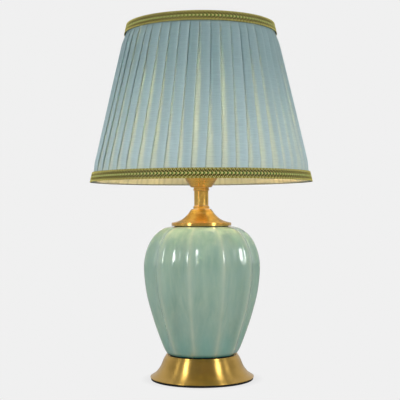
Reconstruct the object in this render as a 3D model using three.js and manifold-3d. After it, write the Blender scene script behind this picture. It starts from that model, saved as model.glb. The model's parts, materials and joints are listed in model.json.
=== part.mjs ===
// Table lamp: a fluted ceramic vase between a spun brass foot and a brass neck, with a
// screw-base bulb in a turn-key socket and a pleated cloth shade carried on a wire harp.
// Millimetres, +Z up. The origin is on the table under the lamp's axis, and -Y is the front.
import * as THREE from 'three';
import { mergeVertices } from 'three/addons/utils/BufferGeometryUtils.js';
import Module from 'manifold-3d';

const wasm = await Module();
wasm.setup();

// ---------------------------------------------------------------- driving dimensions

const GAP = 0.3; // clearance left between two pieces that rest on each other
const LAMP_HEIGHT = 512;

const PAD_RADIUS = 73.8;
const PAD_HEIGHT = 2.6;
const FOOT_RADIUS = 74.7;
const FOOT_WALL = 1.2;
const FOOT_LIP_TOP = 35.8;
const FOOT_PLATE_Z = 33.3; // top of the sunk plate that carries the vase

const VASE_BASE_Z = 36.6;
const VASE_TOP_Z = 219.9;
const VASE_WALL = 5;
const VASE_MOUTH_RADIUS = 30;
const FLUTE_COUNT = 11;
const FLUTE_DEPTH = 6.6;
const FLUTE_HOLLOW = 0.64; // share of a flute's width that is hollow; the rest is the rounded ridge
const FLUTE_TURN = THREE.MathUtils.degToRad(-11.5); // one ridge, turned from the front

const CAP_SEAT_Z = 221.1;
const CAP_RIM_RADIUS = 43.4;
const CAP_RIM_TOP_Z = 225.9;
const CAP_TOP_Z = 245.2;
const CAP_TOP_RADIUS = 14.2;
const TUBE_RADIUS = 10.4;
const TUBE_BASE_Z = 250.3;
const TUBE_TOP_Z = 271.7;
const CUP_BASE_Z = 276.8;

const ROD_RADIUS = 4.9;
const ROD_BORE = 3.2;
const ROD_HOLE = 5.3; // clearance hole for the rod
const ROD_BASE_Z = 2.9;
const ROD_TOP_Z = 285;

const SADDLE_Z = 278.1;
const SADDLE_STEEL = 1.6;
const SADDLE_WIDTH = 13.4;
const SADDLE_FOOT_X = 12.9; // half length of the flat middle, outside
const SADDLE_TIP_X = 28;
const SADDLE_BEND_Z = 303.2;
const SADDLE_TIP_Z = 316;
const SADDLE_TIP_WIDTH = 4.8;

const SOCKET_CAP_Z = 280;
const SOCKET_SHELL_RADIUS = 16.9;
const SOCKET_TOP_Z = 338;
const SWITCH_Z = 301;
const SWITCH_STEM_RADIUS = 1.8;
const SCREW_SHELL_Z = 308.6;

const BULB_CONTACT_Z = 310;
const BULB_CAP_RADIUS = 13.1;
const BULB_NECK_Z = 337.3;
const BULB_RADIUS = 22.5; // small enough for the harp's legs to slide up past it
const BULB_CENTRE_Z = 365.5;

const HARP_WIRE_RADIUS = 2.2;
const HARP_LEG_X = 30.6;
const HARP_LEG_BASE_Z = 299;
const HARP_LEG_TOP_Z = 352;
const HARP_HALF_WIDTH = 57;
const HARP_TOP_Z = 481; // wire centre at the top of the arch
const SLEEVE_X = 29.4;
const SLEEVE_Z = 304;
const SLEEVE_LENGTH = 20;
const STUD_SEAT_Z = 483.5;
const STUD_RADIUS = 3.1;
const STUD_TOP_Z = 502;
const FINIAL_Z = 489.1;
const FINIAL_BALL_RADIUS = 7.4;
const FINIAL_BALL_Z = 504.2;

const SHADE_BASE_Z = 284;
const SHADE_BASE_RADIUS = 159.8;
const SHADE_TOP_RADIUS = 106.5;
const TRIM_HEIGHT = 14.5;
const TRIM_THICKNESS = 1.3;
const FABRIC_INSET = 0.4; // each inset is measured inwards from the shade's cone
const FABRIC_THICKNESS = 2.8;
const FRAME_INSET = 5.2;
const LINING_INSET = 7.2;
const LINING_THICKNESS = 0.8;
const SHADE_SIDES = 40;
const SHADE_RING_WIRE = 1.5;
const RIB_WIRE = 1.25;
const RIB_COUNT = 6;
const SPIDER_Z = 487;
const SPIDER_HUB_RADIUS = 11;
const SPIDER_WIRE = 1.6;
const SPIDER_ARM_COUNT = 3;

// ---------------------------------------------------------------- finishes

const BRASS = { color: 0xb58a3c, roughness: 0.28, metalness: 1 };
const STEEL = { color: 0x9a9a98, roughness: 0.4, metalness: 1 };
const PAINTED_WIRE = { color: 0xe6e2d6, roughness: 0.5, metalness: 0 };
const CELADON = { color: 0x6fa58c, roughness: 0.12, metalness: 0 };
const CAST_IRON = { color: 0x2c2d2e, roughness: 0.8, metalness: 0.6 };
const RUBBER = { color: 0x151515, roughness: 0.85, metalness: 0 };
const CLOTH = { color: 0xa3b5b8, roughness: 0.7, metalness: 0 };
const LINING_CLOTH = { color: 0xf0e2c0, roughness: 0.8, metalness: 0 };
const BRAID = { color: 0x8f8a45, roughness: 0.75, metalness: 0 };
const OPAL_GLASS = { color: 0xfff3da, roughness: 0.2, metalness: 0 };
const ALUMINIUM = { color: 0xc6c8ca, roughness: 0.35, metalness: 1 };
const BLACK_PLASTIC = { color: 0x18130f, roughness: 0.4, metalness: 0 };
const CARDBOARD = { color: 0x9a7a50, roughness: 0.9, metalness: 0 };

// ---------------------------------------------------------------- shape helpers

const lamp = new THREE.Group();

function addPart(name, geometry, finish) {
  const mesh = new THREE.Mesh(geometry, new THREE.MeshStandardMaterial(finish));
  mesh.name = name;
  lamp.add(mesh);
  return mesh;
}

// A body of revolution about Z. The profile is a list of [radius, height] points that runs
// up the outside and back down the inside; it closes on itself unless it starts on the axis.
function revolve(profile, segments) {
  const points = profile.map(([radius, height]) => new THREE.Vector2(radius, height));
  if (profile[0][0] > 0) {
    points.push(points[0].clone());
  }
  return new THREE.LatheGeometry(points, segments).rotateX(Math.PI / 2);
}

function ring(innerRadius, outerRadius, low, high, segments = 24) {
  const section = [[innerRadius, low], [outerRadius, low], [outerRadius, high], [innerRadius, high]];
  return revolve(section, segments);
}

function disc(radius, low, high, segments = 24) {
  return revolve([[0, low], [radius, low], [radius, high], [0, high]], segments);
}

// Points of a circular arc in the profile plane, angles in degrees from the outward direction.
function arc(centreRadius, centreHeight, radius, from, to, steps) {
  return Array.from({ length: steps + 1 }, (_, i) => {
    const angle = THREE.MathUtils.degToRad(from + ((to - from) * i) / steps);
    return [centreRadius + radius * Math.cos(angle), centreHeight + radius * Math.sin(angle)];
  });
}

function spline(points, steps) {
  const curve = new THREE.SplineCurve(points.map(([radius, height]) => new THREE.Vector2(radius, height)));
  return curve.getSpacedPoints(steps).map((point) => [point.x, point.y]);
}

// The same path moved into the wall by a distance, square to the path at each point.
function inset(path, distance) {
  return path.map(([radius, height], i) => {
    const before = path[Math.max(i - 1, 0)];
    const after = path[Math.min(i + 1, path.length - 1)];
    const alongRadius = after[0] - before[0];
    const alongHeight = after[1] - before[1];
    const length = Math.hypot(alongRadius, alongHeight);
    return [radius - (distance * alongHeight) / length, height + (distance * alongRadius) / length];
  });
}

// A thin-walled shell from its outside path, which has the outside on its right.
function shell(outside, wall, segments) {
  return revolve([...outside, ...inset(outside, wall).reverse()], segments);
}

function circleShape(radius, sides) {
  const corners = Array.from({ length: sides }, (_, i) => {
    const angle = (2 * Math.PI * i) / sides;
    return new THREE.Vector2(radius * Math.cos(angle), radius * Math.sin(angle));
  });
  return new THREE.Shape(corners);
}

function wire(path, radius, steps, sides = 8) {
  return new THREE.ExtrudeGeometry(circleShape(radius, sides), { extrudePath: path, steps });
}

function cylinder(radius, length, sides = 24) {
  return new THREE.CylinderGeometry(radius, radius, length, sides);
}

function solidOf(geometry) {
  const bare = new THREE.BufferGeometry();
  bare.setAttribute('position', geometry.getAttribute('position').clone());
  if (geometry.index) {
    bare.setIndex(geometry.index.clone());
  }
  const merged = mergeVertices(bare, 1e-3);
  const corners = merged.index.array;
  const kept = [];
  for (let i = 0; i < corners.length; i += 3) {
    const [a, b, c] = corners.slice(i, i + 3);
    if (a !== b && b !== c && c !== a) {
      kept.push(a, b, c);
    }
  }
  const vertProperties = new Float32Array(merged.getAttribute('position').array);
  return new wasm.Manifold(new wasm.Mesh({ numProp: 3, vertProperties, triVerts: new Uint32Array(kept) }));
}

function geometryOf(solid) {
  const { vertProperties, triVerts } = solid.getMesh();
  const geometry = new THREE.BufferGeometry();
  geometry.setAttribute('position', new THREE.BufferAttribute(new Float32Array(vertProperties), 3));
  geometry.setIndex(new THREE.BufferAttribute(new Uint32Array(triVerts), 1));
  geometry.computeVertexNormals();
  return geometry;
}

function cut(geometry, ...tools) {
  return geometryOf(tools.reduce((solid, tool) => solid.subtract(solidOf(tool)), solidOf(geometry)));
}

function join(...geometries) {
  return geometryOf(geometries.map(solidOf).reduce((whole, solid) => whole.add(solid)));
}

// ---------------------------------------------------------------- foot

const BUSHING_Z = 20;
const BUSHING_RADIUS_FROM_AXIS = 59.3;
const BUSHING_TILT = THREE.MathUtils.degToRad(27); // the foot's wall leans back this far here
const BUSHING_HOLE = 4.1;

// Moves a piece built along +Z to the cord hole in the back of the foot, square to the wall.
function atCordHole(geometry) {
  geometry.rotateX(-Math.PI / 2 + BUSHING_TILT);
  return geometry.translate(0, BUSHING_RADIUS_FROM_AXIS, BUSHING_Z);
}

function footShell() {
  const flare = spline([[FOOT_RADIUS, 4.2], [71.4, 6.3], [67.6, 8.9], [62.7, 14.4], [59.3, 20],
    [56.9, 25.9], [54.6, 31], [52.4, 34.2]], 8);
  const skirt = [[FOOT_RADIUS, 3.1], ...flare];
  const lip = arc(50.9, 34.4, FOOT_LIP_TOP - 34.4, 20, 170, 4);
  const plate = [[49.4, FOOT_PLATE_Z], [ROD_HOLE, FOOT_PLATE_Z]];
  const underside = [[ROD_HOLE, FOOT_PLATE_Z - FOOT_WALL], [50.4, FOOT_PLATE_Z - FOOT_WALL]];
  const inside = inset(skirt, FOOT_WALL).reverse();
  const whole = revolve([...skirt, ...lip, ...plate, ...underside, ...inside], 40);
  return cut(whole, atCordHole(cylinder(BUSHING_HOLE, 14).rotateX(Math.PI / 2)));
}

function ballastPlate() {
  const washerSeat = 9.6;
  const bossTop = FOOT_PLATE_Z - FOOT_WALL - GAP;
  return revolve([[12, 4.5], [62, 4.5], [62, 11], [58, 13], [16, 13], [12, 17], [12, bossTop],
    [ROD_HOLE, bossTop], [ROD_HOLE, washerSeat], [12, washerSeat]], 32);
}

function hexNut(acrossFlats, low, high) {
  const corner = acrossFlats / Math.sqrt(3);
  const shape = circleShape(corner, 6);
  shape.holes.push(circleShape(ROD_HOLE, 16));
  return new THREE.ExtrudeGeometry(shape, { depth: high - low, bevelEnabled: false }).translate(0, 0, low);
}

addPart('foot_pad', disc(PAD_RADIUS, 0, PAD_HEIGHT, 40), RUBBER);
addPart('foot_shell', footShell(), BRASS);
addPart('ballast_plate', ballastPlate(), CAST_IRON);
addPart('bottom_nut', hexNut(16, 3.2, 7.8), STEEL);
addPart('bottom_lock_washer', ring(ROD_HOLE, 9.8, 8.1, 9.3, 16), STEEL);
addPart('threaded_rod', ring(ROD_BORE, ROD_RADIUS, ROD_BASE_Z, ROD_TOP_Z, 16), STEEL);
addPart('seat_gasket', ring(30, 46, FOOT_PLATE_Z + GAP, VASE_BASE_Z - GAP), RUBBER);

const bushing = revolve([[2.5, -4], [3.7, -4], [3.7, 0.9], [5.2, 0.9], [4.8, 2.6], [2.5, 2.6]], 20);
addPart('cord_bushing', atCordHole(bushing), BLACK_PLASTIC);

// ---------------------------------------------------------------- vase

// Share of the full flute depth at a height: the flutes fade towards the base and the mouth.
function fluteFade(height) {
  const rise = THREE.MathUtils.smoothstep(height, VASE_BASE_Z - 14, VASE_BASE_Z + 44);
  const fall = 1 - THREE.MathUtils.smoothstep(height, VASE_TOP_Z - 20, VASE_TOP_Z + 8);
  return rise * fall;
}

// Share of the depth across a flute, from 1 at its middle to 0 on the rounded ridge between two.
function fluteSection(angle) {
  const flutesRound = (angle * FLUTE_COUNT) / (2 * Math.PI);
  const across = 2 * Math.abs(flutesRound - Math.floor(flutesRound) - 0.5); // 0 middle, 1 ridge
  if (across < FLUTE_HOLLOW) {
    return 1 - across ** 2 / FLUTE_HOLLOW;
  }
  return (1 - across) ** 2 / (1 - FLUTE_HOLLOW);
}

function ceramicBody() {
  const outside = spline([[48, VASE_BASE_Z], [50.6, 38], [55.4, 46], [62.4, 63.6], [71.5, 90], [80.6, 124.6],
    [84.4, 159], [82.5, 179.6], [76.2, 197], [67.6, 208.8], [56, 217.1], [46, VASE_TOP_Z]], 16);
  const inside = spline([[VASE_MOUTH_RADIUS, 214], [60, 207], [77, 181], [84.4 - VASE_WALL, 157],
    [74.8, 122], [63, 85], [46, 48]], 8);
  const loop = [...outside, [VASE_MOUTH_RADIUS, VASE_TOP_Z], ...inside, [14, 43.5], [14, VASE_BASE_Z]];
  const geometry = revolve(loop, FLUTE_COUNT * 6);
  const position = geometry.getAttribute('position');
  for (let i = 0; i < position.count; i += 1) {
    const x = position.getX(i);
    const y = position.getY(i);
    const radius = Math.hypot(x, y);
    const share = fluteFade(position.getZ(i)) * THREE.MathUtils.smoothstep(radius, 30, 54);
    const depth = FLUTE_DEPTH * share * fluteSection(Math.atan2(x, -y));
    position.setX(i, (x * (radius - depth)) / radius);
    position.setY(i, (y * (radius - depth)) / radius);
  }
  return geometry.rotateZ(FLUTE_TURN);
}

function vaseCap() {
  const lowerCorner = arc(CAP_RIM_RADIUS - 0.8, CAP_SEAT_Z + 0.8, 0.8, -85, 0, 2);
  const upperCorner = arc(CAP_RIM_RADIUS - 1.1, CAP_RIM_TOP_Z - 1, 1, 0, 80, 2);
  const flare = spline([[38, 226.6], [31.4, 228.9], [26.4, 231.8], [20.3, 237.2], [16.4, 242.6],
    [CAP_TOP_RADIUS, CAP_TOP_Z]], 6);
  const outside = [[33, CAP_SEAT_Z], ...lowerCorner, ...upperCorner, ...flare];
  const innerWall = inset(outside, 1.2);
  const top = [[ROD_HOLE, CAP_TOP_Z], [ROD_HOLE, CAP_TOP_Z - 1.4]];
  const corner = [innerWall.at(-1)[0], CAP_TOP_Z - 1.4];
  return revolve([...outside, ...top, corner, ...innerWall.slice(0, -1).reverse()], 32);
}

addPart('ceramic_body', ceramicBody(), CELADON);
addPart('cap_gasket', ring(33, 39.2, VASE_TOP_Z + GAP, CAP_SEAT_Z - GAP), RUBBER);
addPart('vase_cap', vaseCap(), BRASS);

// ---------------------------------------------------------------- neck

function neckCup() {
  const outside = [[ROD_HOLE, CUP_BASE_Z], [14.8, CUP_BASE_Z],
    ...spline([[15.8, 277.7], [18.2, 281.5], [21, 285.5], [23.5, 289.5], [24.6, 292.5]], 5)];
  return shell(outside, 0.9, 28);
}

const lowerCollar = [[ROD_HOLE, CAP_TOP_Z + GAP], [11.3, CAP_TOP_Z + GAP],
  ...arc(10.2, 247.8, 1.7, -50, 50, 2), [11.1, TUBE_BASE_Z - GAP], [ROD_HOLE, TUBE_BASE_Z - GAP]];
const upperCollar = [[ROD_HOLE, TUBE_TOP_Z + GAP], [11.6, TUBE_TOP_Z + GAP], [11.6, 274], [11, 274.6],
  [11, CUP_BASE_Z - GAP], [ROD_HOLE, CUP_BASE_Z - GAP]];
addPart('neck_collar_lower', revolve(lowerCollar, 24), BRASS);
addPart('neck_tube', ring(TUBE_RADIUS - 1, TUBE_RADIUS, TUBE_BASE_Z, TUBE_TOP_Z), BRASS);
addPart('neck_collar_upper', revolve(upperCollar, 24), BRASS);
addPart('neck_cup', neckCup(), BRASS);

// ---------------------------------------------------------------- harp saddle

// A bent steel strap: flat over the neck, two leaning arms, and two narrow upright tips.
function harpSaddle() {
  const inner = SADDLE_TIP_X - SADDLE_STEEL;
  const innerFoot = SADDLE_FOOT_X - 0.9; // keeps the leaning arms as thick as the flat
  const right = [[SADDLE_FOOT_X, SADDLE_Z], [SADDLE_TIP_X, SADDLE_BEND_Z], [SADDLE_TIP_X, SADDLE_TIP_Z],
    [inner, SADDLE_TIP_Z], [inner, SADDLE_BEND_Z + 0.5], [innerFoot, SADDLE_Z + SADDLE_STEEL]];
  const left = right.map(([x, z]) => [-x, z]).reverse();
  const outline = new THREE.Shape([...right, ...left].map(([x, z]) => new THREE.Vector2(x, z)));
  const strap = new THREE.ExtrudeGeometry(outline, { depth: SADDLE_WIDTH, bevelEnabled: false });
  strap.rotateX(Math.PI / 2).translate(0, SADDLE_WIDTH / 2, 0);
  const shoulders = [-1, 1].flatMap((end) => [-1, 1].map((side) => {
    const block = new THREE.BoxGeometry(8, 10, 30);
    return block.translate(end * SADDLE_TIP_X, side * (5 + SADDLE_TIP_WIDTH / 2), SADDLE_BEND_Z + 15.2);
  }));
  const rodHole = cylinder(ROD_HOLE, 20).rotateX(Math.PI / 2).translate(0, 0, SADDLE_Z);
  return cut(strap, rodHole, ...shoulders);
}

addPart('harp_saddle', harpSaddle(), BRASS);

// ---------------------------------------------------------------- socket and switch

// A round cutter along -Y at the switch stem's height, from one distance to another.
function switchBore(radius, from, to) {
  return cylinder(radius, to - from, 16).translate(0, -(from + to) / 2, SWITCH_Z);
}

function socketCap() {
  const dome = spline([[7.5, SOCKET_CAP_Z], [12.6, 283], [16, 287.2], [17.9, 291.5]], 5);
  return shell([[ROD_HOLE, SOCKET_CAP_Z], ...dome, [17.9, 297.5]], 0.7, 24);
}

function socketShell() {
  const outside = [[SOCKET_SHELL_RADIUS, 292], [SOCKET_SHELL_RADIUS, SOCKET_TOP_Z - 3],
    [SOCKET_SHELL_RADIUS + 0.7, SOCKET_TOP_Z]];
  return cut(shell(outside, 0.6, 24), switchBore(2.4, 10, 24));
}

const socketLiner = cut(ring(15, 15.9, 293, 337), switchBore(2.4, 10, 24));
const socketInterior = cut(disc(14.6, 293.5, 308), switchBore(2.2, 7.5, 20));
addPart('socket_cap', socketCap(), BRASS);
addPart('socket_shell', socketShell(), BRASS);
addPart('socket_liner', socketLiner, CARDBOARD);
addPart('socket_interior', socketInterior, BLACK_PLASTIC);
addPart('socket_screw_shell', ring(14, 14.6, SCREW_SHELL_Z, 335), ALUMINIUM);
addPart('centre_contact', disc(5, 308.5, 309.5, 16), BRASS);

addPart('switch_stem', switchBore(SWITCH_STEM_RADIUS, 8, 36), BRASS);

// Revolved about its stem, with a blind hole for the stem in its inner end.
const knobProfile = [[0, 36.6], [2.1, 36.6], [2.1, 24], [5.4, 24], [6.4, 25.5], [6.4, 36],
  [5.2, 38], [0, 38.4]];
const knob = revolve(knobProfile, 20).rotateX(Math.PI / 2).translate(0, 0, SWITCH_Z);
addPart('switch_knob', knob, BLACK_PLASTIC);

// ---------------------------------------------------------------- bulb

function bulbGlass() {
  const globe = arc(0, BULB_CENTRE_Z, BULB_RADIUS, -35, 90, 8).slice(1);
  const neck = spline([[13.2, BULB_NECK_Z], [13.6, 341.5], [15.4, 347], [18.4, 352.6]], 4);
  const outside = [...neck, ...globe];
  const inside = inset(outside, 1).slice(0, -1).reverse();
  outside[outside.length - 1] = [0, BULB_CENTRE_Z + BULB_RADIUS];
  return revolve([[0, BULB_CENTRE_Z + BULB_RADIUS - 1], ...inside, ...outside], 24);
}

addPart('bulb_glass', bulbGlass(), OPAL_GLASS);
addPart('bulb_cap', ring(BULB_CAP_RADIUS - 0.7, BULB_CAP_RADIUS, 315.8, BULB_NECK_Z - GAP), ALUMINIUM);
addPart('bulb_insulator', revolve([[0, 312], [4.6, 312], [11.8, 315.5], [0, 315.5]], 20), BLACK_PLASTIC);
addPart('bulb_contact', disc(4.2, BULB_CONTACT_Z, BULB_CONTACT_Z + 1.7, 16), STEEL);

// ---------------------------------------------------------------- harp, sleeves and finial

function harpWire() {
  const half = (side) => [
    new THREE.LineCurve3(new THREE.Vector3(side * HARP_LEG_X, 0, HARP_LEG_BASE_Z),
      new THREE.Vector3(side * HARP_LEG_X, 0, HARP_LEG_TOP_Z)),
    new THREE.CubicBezierCurve3(new THREE.Vector3(side * HARP_LEG_X, 0, HARP_LEG_TOP_Z),
      new THREE.Vector3(side * HARP_LEG_X, 0, 376),
      new THREE.Vector3(side * HARP_HALF_WIDTH, 0, 388),
      new THREE.Vector3(side * HARP_HALF_WIDTH, 0, 420)),
    new THREE.CubicBezierCurve3(new THREE.Vector3(side * HARP_HALF_WIDTH, 0, 420),
      new THREE.Vector3(side * HARP_HALF_WIDTH, 0, 460),
      new THREE.Vector3(side * 24, 0, HARP_TOP_Z),
      new THREE.Vector3(0, 0, HARP_TOP_Z)),
  ];
  const backwards = (curve) => {
    if (curve.isLineCurve3) {
      return new THREE.LineCurve3(curve.v2, curve.v1);
    }
    return new THREE.CubicBezierCurve3(curve.v3, curve.v2, curve.v1, curve.v0);
  };
  const path = new THREE.CurvePath();
  path.curves = [...half(-1), ...half(1).map(backwards).reverse()];
  return wire(path, HARP_WIRE_RADIUS, 44);
}

function finialBody() {
  const bore = 5.1;
  const ball = arc(0, FINIAL_BALL_Z, FINIAL_BALL_RADIUS, -32, 90, 6);
  ball[ball.length - 1] = [0, FINIAL_BALL_Z + FINIAL_BALL_RADIUS];
  return revolve([[0, 503.8], [bore, 503.8], [bore, FINIAL_Z], [7.5, FINIAL_Z], [7.5, 491], [6.1, 492.6],
    [6.1, 498], ...ball], 20);
}

addPart('harp_wire', harpWire(), BRASS);
const stud = [[0, STUD_SEAT_Z], [7, STUD_SEAT_Z], [7, SPIDER_Z - GAP - 0.2], [STUD_RADIUS, SPIDER_Z - GAP],
  [STUD_RADIUS, STUD_TOP_Z], [0, STUD_TOP_Z]];
addPart('harp_stud', revolve(stud, 20), BRASS);
for (const [name, side] of [['harp_sleeve_left', -1], ['harp_sleeve_right', 1]]) {
  const sleeve = ring(4.2, 5.2, SLEEVE_Z, SLEEVE_Z + SLEEVE_LENGTH, 20).translate(side * SLEEVE_X, 0, 0);
  addPart(name, sleeve, BRASS);
}
addPart('finial_insert', ring(STUD_RADIUS + 0.4, 4.8, FINIAL_Z + GAP, 503.4, 20), STEEL);
addPart('finial', finialBody(), BRASS);

// ---------------------------------------------------------------- shade

// Radius of the shade's cone at a height, which every shade piece is measured from.
function coneRadius(height) {
  return THREE.MathUtils.mapLinear(height, SHADE_BASE_Z, LAMP_HEIGHT, SHADE_BASE_RADIUS, SHADE_TOP_RADIUS);
}

function coneBand(low, high, insetBy, thickness) {
  const outer = (height) => coneRadius(height) - insetBy;
  return revolve([[outer(low) - thickness, low], [outer(low), low], [outer(high), high],
    [outer(high) - thickness, high]], SHADE_SIDES);
}

function frameRing(height) {
  const radius = coneRadius(height) - FRAME_INSET;
  return new THREE.TorusGeometry(radius, SHADE_RING_WIRE, 6, SHADE_SIDES).translate(0, 0, height);
}

function frameRib(index, low, high) {
  const angle = (2 * Math.PI * (index + 0.5)) / RIB_COUNT;
  const at = (height) => {
    const radius = coneRadius(height) - FRAME_INSET;
    return new THREE.Vector3(radius * Math.cos(angle), radius * Math.sin(angle), height);
  };
  return wire(new THREE.LineCurve3(at(low), at(high)), RIB_WIRE, 1, 6);
}

// The fitter that hangs the shade: a washer on the harp's stud and arms up to the top ring.
function shadeSpider() {
  const armZ = SPIDER_Z + 0.8;
  const armTopZ = 509.5;
  const armTopRadius = 98.3;
  const hub = ring(3.8, SPIDER_HUB_RADIUS, SPIDER_Z, SPIDER_Z + 1.6, 24);
  const arms = Array.from({ length: SPIDER_ARM_COUNT }, (_, i) => {
    const path = new THREE.CurvePath();
    path.curves = [
      new THREE.LineCurve3(new THREE.Vector3(9.2, 0, armZ), new THREE.Vector3(84, 0, armZ)),
      new THREE.QuadraticBezierCurve3(new THREE.Vector3(84, 0, armZ),
        new THREE.Vector3(armTopRadius, 0, armZ), new THREE.Vector3(armTopRadius, 0, armZ + 12)),
      new THREE.LineCurve3(new THREE.Vector3(armTopRadius, 0, armZ + 12),
        new THREE.Vector3(armTopRadius, 0, armTopZ)),
    ];
    const turn = Math.PI / 2 + (2 * Math.PI * i) / SPIDER_ARM_COUNT;
    return wire(path, SPIDER_WIRE, 14, 6).rotateZ(turn);
  });
  return join(hub, ...arms);
}

const bottomRingZ = SHADE_BASE_Z + 2.8;
const topRingZ = LAMP_HEIGHT - 2.5;
addPart('shade_spider', shadeSpider(), BRASS);
addPart('shade_top_ring', frameRing(topRingZ), PAINTED_WIRE);
addPart('shade_bottom_ring', frameRing(bottomRingZ), PAINTED_WIRE);
for (let index = 0; index < RIB_COUNT; index += 1) {
  const clear = SHADE_RING_WIRE + RIB_WIRE * 0.3 + GAP;
  addPart(`shade_rib_${index + 1}`, frameRib(index, bottomRingZ + clear, topRingZ - clear), PAINTED_WIRE);
}
addPart('shade_fabric', coneBand(SHADE_BASE_Z + 1, LAMP_HEIGHT - 1, FABRIC_INSET, FABRIC_THICKNESS), CLOTH);
addPart('shade_lining', coneBand(SHADE_BASE_Z + 1.5, 504, LINING_INSET, LINING_THICKNESS), LINING_CLOTH);
for (const [name, low] of [['bottom_trim', SHADE_BASE_Z], ['top_trim', LAMP_HEIGHT - TRIM_HEIGHT]]) {
  addPart(name, coneBand(low, low + TRIM_HEIGHT, -TRIM_THICKNESS, TRIM_THICKNESS), BRAID);
}

export default lamp;
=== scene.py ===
import json
import math

import bmesh
import bpy
import numpy as np
from mathutils import Matrix, Vector


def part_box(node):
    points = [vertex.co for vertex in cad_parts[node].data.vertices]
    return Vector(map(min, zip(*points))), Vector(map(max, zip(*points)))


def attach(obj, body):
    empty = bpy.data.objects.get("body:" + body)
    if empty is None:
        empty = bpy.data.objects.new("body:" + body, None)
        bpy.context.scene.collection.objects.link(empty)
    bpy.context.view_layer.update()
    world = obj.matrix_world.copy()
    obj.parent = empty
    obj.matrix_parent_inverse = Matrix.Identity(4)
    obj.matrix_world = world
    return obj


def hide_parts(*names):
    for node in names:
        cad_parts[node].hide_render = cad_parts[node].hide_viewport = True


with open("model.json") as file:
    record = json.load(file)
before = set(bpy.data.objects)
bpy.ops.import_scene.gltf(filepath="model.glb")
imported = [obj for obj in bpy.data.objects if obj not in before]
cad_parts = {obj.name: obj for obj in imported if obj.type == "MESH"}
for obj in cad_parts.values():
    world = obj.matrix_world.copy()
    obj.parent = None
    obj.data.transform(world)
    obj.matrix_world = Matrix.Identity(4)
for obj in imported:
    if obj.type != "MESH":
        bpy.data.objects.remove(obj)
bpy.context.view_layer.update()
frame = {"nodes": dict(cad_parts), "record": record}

BODY_OF = {node: body for body, nodes in frame["record"]["behaviour"]["bodies"].items() for node in nodes}

MM = 0.001
TURN = 2 * math.pi
ROUND = 144  # sides of the turned metal and ceramic pieces

# --- driving values: millimetres first, then brightnesses

FLUTES = 11
FLUTE_DEPTH = 6.6
FLUTE_HOLLOW = 0.64  # share of a flute's width that is hollow; the rest is the rounded ridge
FLUTE_TURN = math.radians(-11.5)  # one ridge, turned from the front

SHADE_WIRE = 1.5
FRAME_INSET = 5.2  # from the shade's outer cone in to its wire frame
LINING_INSET = 7.2
RIB_WIRE = 1.25  # a radius, as SHADE_WIRE is

PLEATS = 51
CLOTH_PER_PLEAT = 40.0
FIRST_LIP = math.radians(-3.8)  # a pleat's folded edge, turned from the front
PLEAT_SLANT = math.radians(0.0225)  # how far the pleats lean round the shade per mm of height
PLEAT_SEED = 51

BRAID_PITCH = 5.15  # one gold and one green bar

SCREW_PITCH = 3.63
ROD_HOLE = 5.3  # radius of the holes round the threaded rod

BULB_GLOW = 98.0  # the lit bulb's emission
PALE = 0.871  # the backdrop's brightness
FRONT_GLOW, SIDE_GLOW, BACK_GLOW = 0.18, 0.38, 0.64  # the studio's walls, as the lamp sees them
SOFTBOX_WATTS = 8.0
STRIP_WATTS = 0.9
LOW_WATTS = 0.6
LIGHT_DISTANCE = 1.6  # metres

# --- profile helpers


def spline(points, steps=6):
    """Points of a smooth curve through the given ones, steps to each span."""
    points = np.array(points, float)
    padded = np.vstack([points[:1], points, points[-1:]])
    t = np.linspace(0, 1, steps, endpoint=False)[:, None]
    spans = []
    for a, b, c, d in zip(padded, padded[1:], padded[2:], padded[3:]):
        leaving, arriving = (c - a) / 2, (d - b) / 2
        spans.append((2 * t**3 - 3 * t**2 + 1) * b + (t**3 - 2 * t**2 + t) * leaving
                     + (3 * t**2 - 2 * t**3) * c + (t**3 - t**2) * arriving)
    return [*np.vstack(spans), points[-1]]


def arc(centre, radius, start, end, steps):
    """Points of a circular arc, angles in degrees from the first axis."""
    angles = np.radians(np.linspace(start, end, steps + 1))
    return [*np.stack([centre[0] + radius * np.cos(angles), centre[1] + radius * np.sin(angles)], -1)]


def inset(path, distance):
    """The same path moved to its left by a distance."""
    path = np.array(path, float)
    along = np.gradient(path, axis=0)
    along /= np.linalg.norm(along, axis=1)[:, None]
    return [*(path + distance * np.stack([-along[:, 1], along[:, 0]], -1))]


def walled(outside, wall):
    """The closed profile of a thin shell, from its outside path going up."""
    return [*outside, *inset(outside, wall)[::-1]]


def smoothstep(x, low, high):
    """0 up to low, easing to 1 from high on."""
    t = np.clip((np.asarray(x, float) - low) / (high - low), 0, 1)
    return t * t * (3 - 2 * t)


def between(x, low, full_low, full_high, high):
    """1 in the middle of a range, easing to 0 at both of its ends."""
    return smoothstep(x, low, full_low) * (1 - smoothstep(x, full_high, high))


# --- mesh helpers


def grid_faces(rows, columns, close_rows=False, close_columns=True):
    """Quads of a grid of points numbered row by row, facing out where rows go up and columns round."""
    i, j = np.meshgrid(np.arange(rows if close_rows else rows - 1),
                       np.arange(columns if close_columns else columns - 1), indexing="ij")
    below, above = i * columns, (i + 1) % rows * columns
    right = (j + 1) % columns
    return np.stack([below + j, below + right, above + right, above + j], -1).reshape(-1, 4)


def lathe(profile, sides=ROUND, reshape=None):
    """A body of revolution about Z from [radius, height] points; it closes on itself or on the axis.
    reshape(radius, height, angle) may change the radius round the piece."""
    profile = np.array(profile, float)
    closed = profile[0][0] > 0
    angle = np.arange(sides) * TURN / sides
    radius = np.repeat(profile[:, :1], sides, 1)
    height = np.repeat(profile[:, 1:], sides, 1)
    if reshape:
        radius = reshape(radius, height, angle[None, :])
    points = np.stack([radius * np.cos(angle), radius * np.sin(angle), height], -1).reshape(-1, 3)
    return points, grid_faces(len(profile), sides, close_rows=closed)


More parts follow.
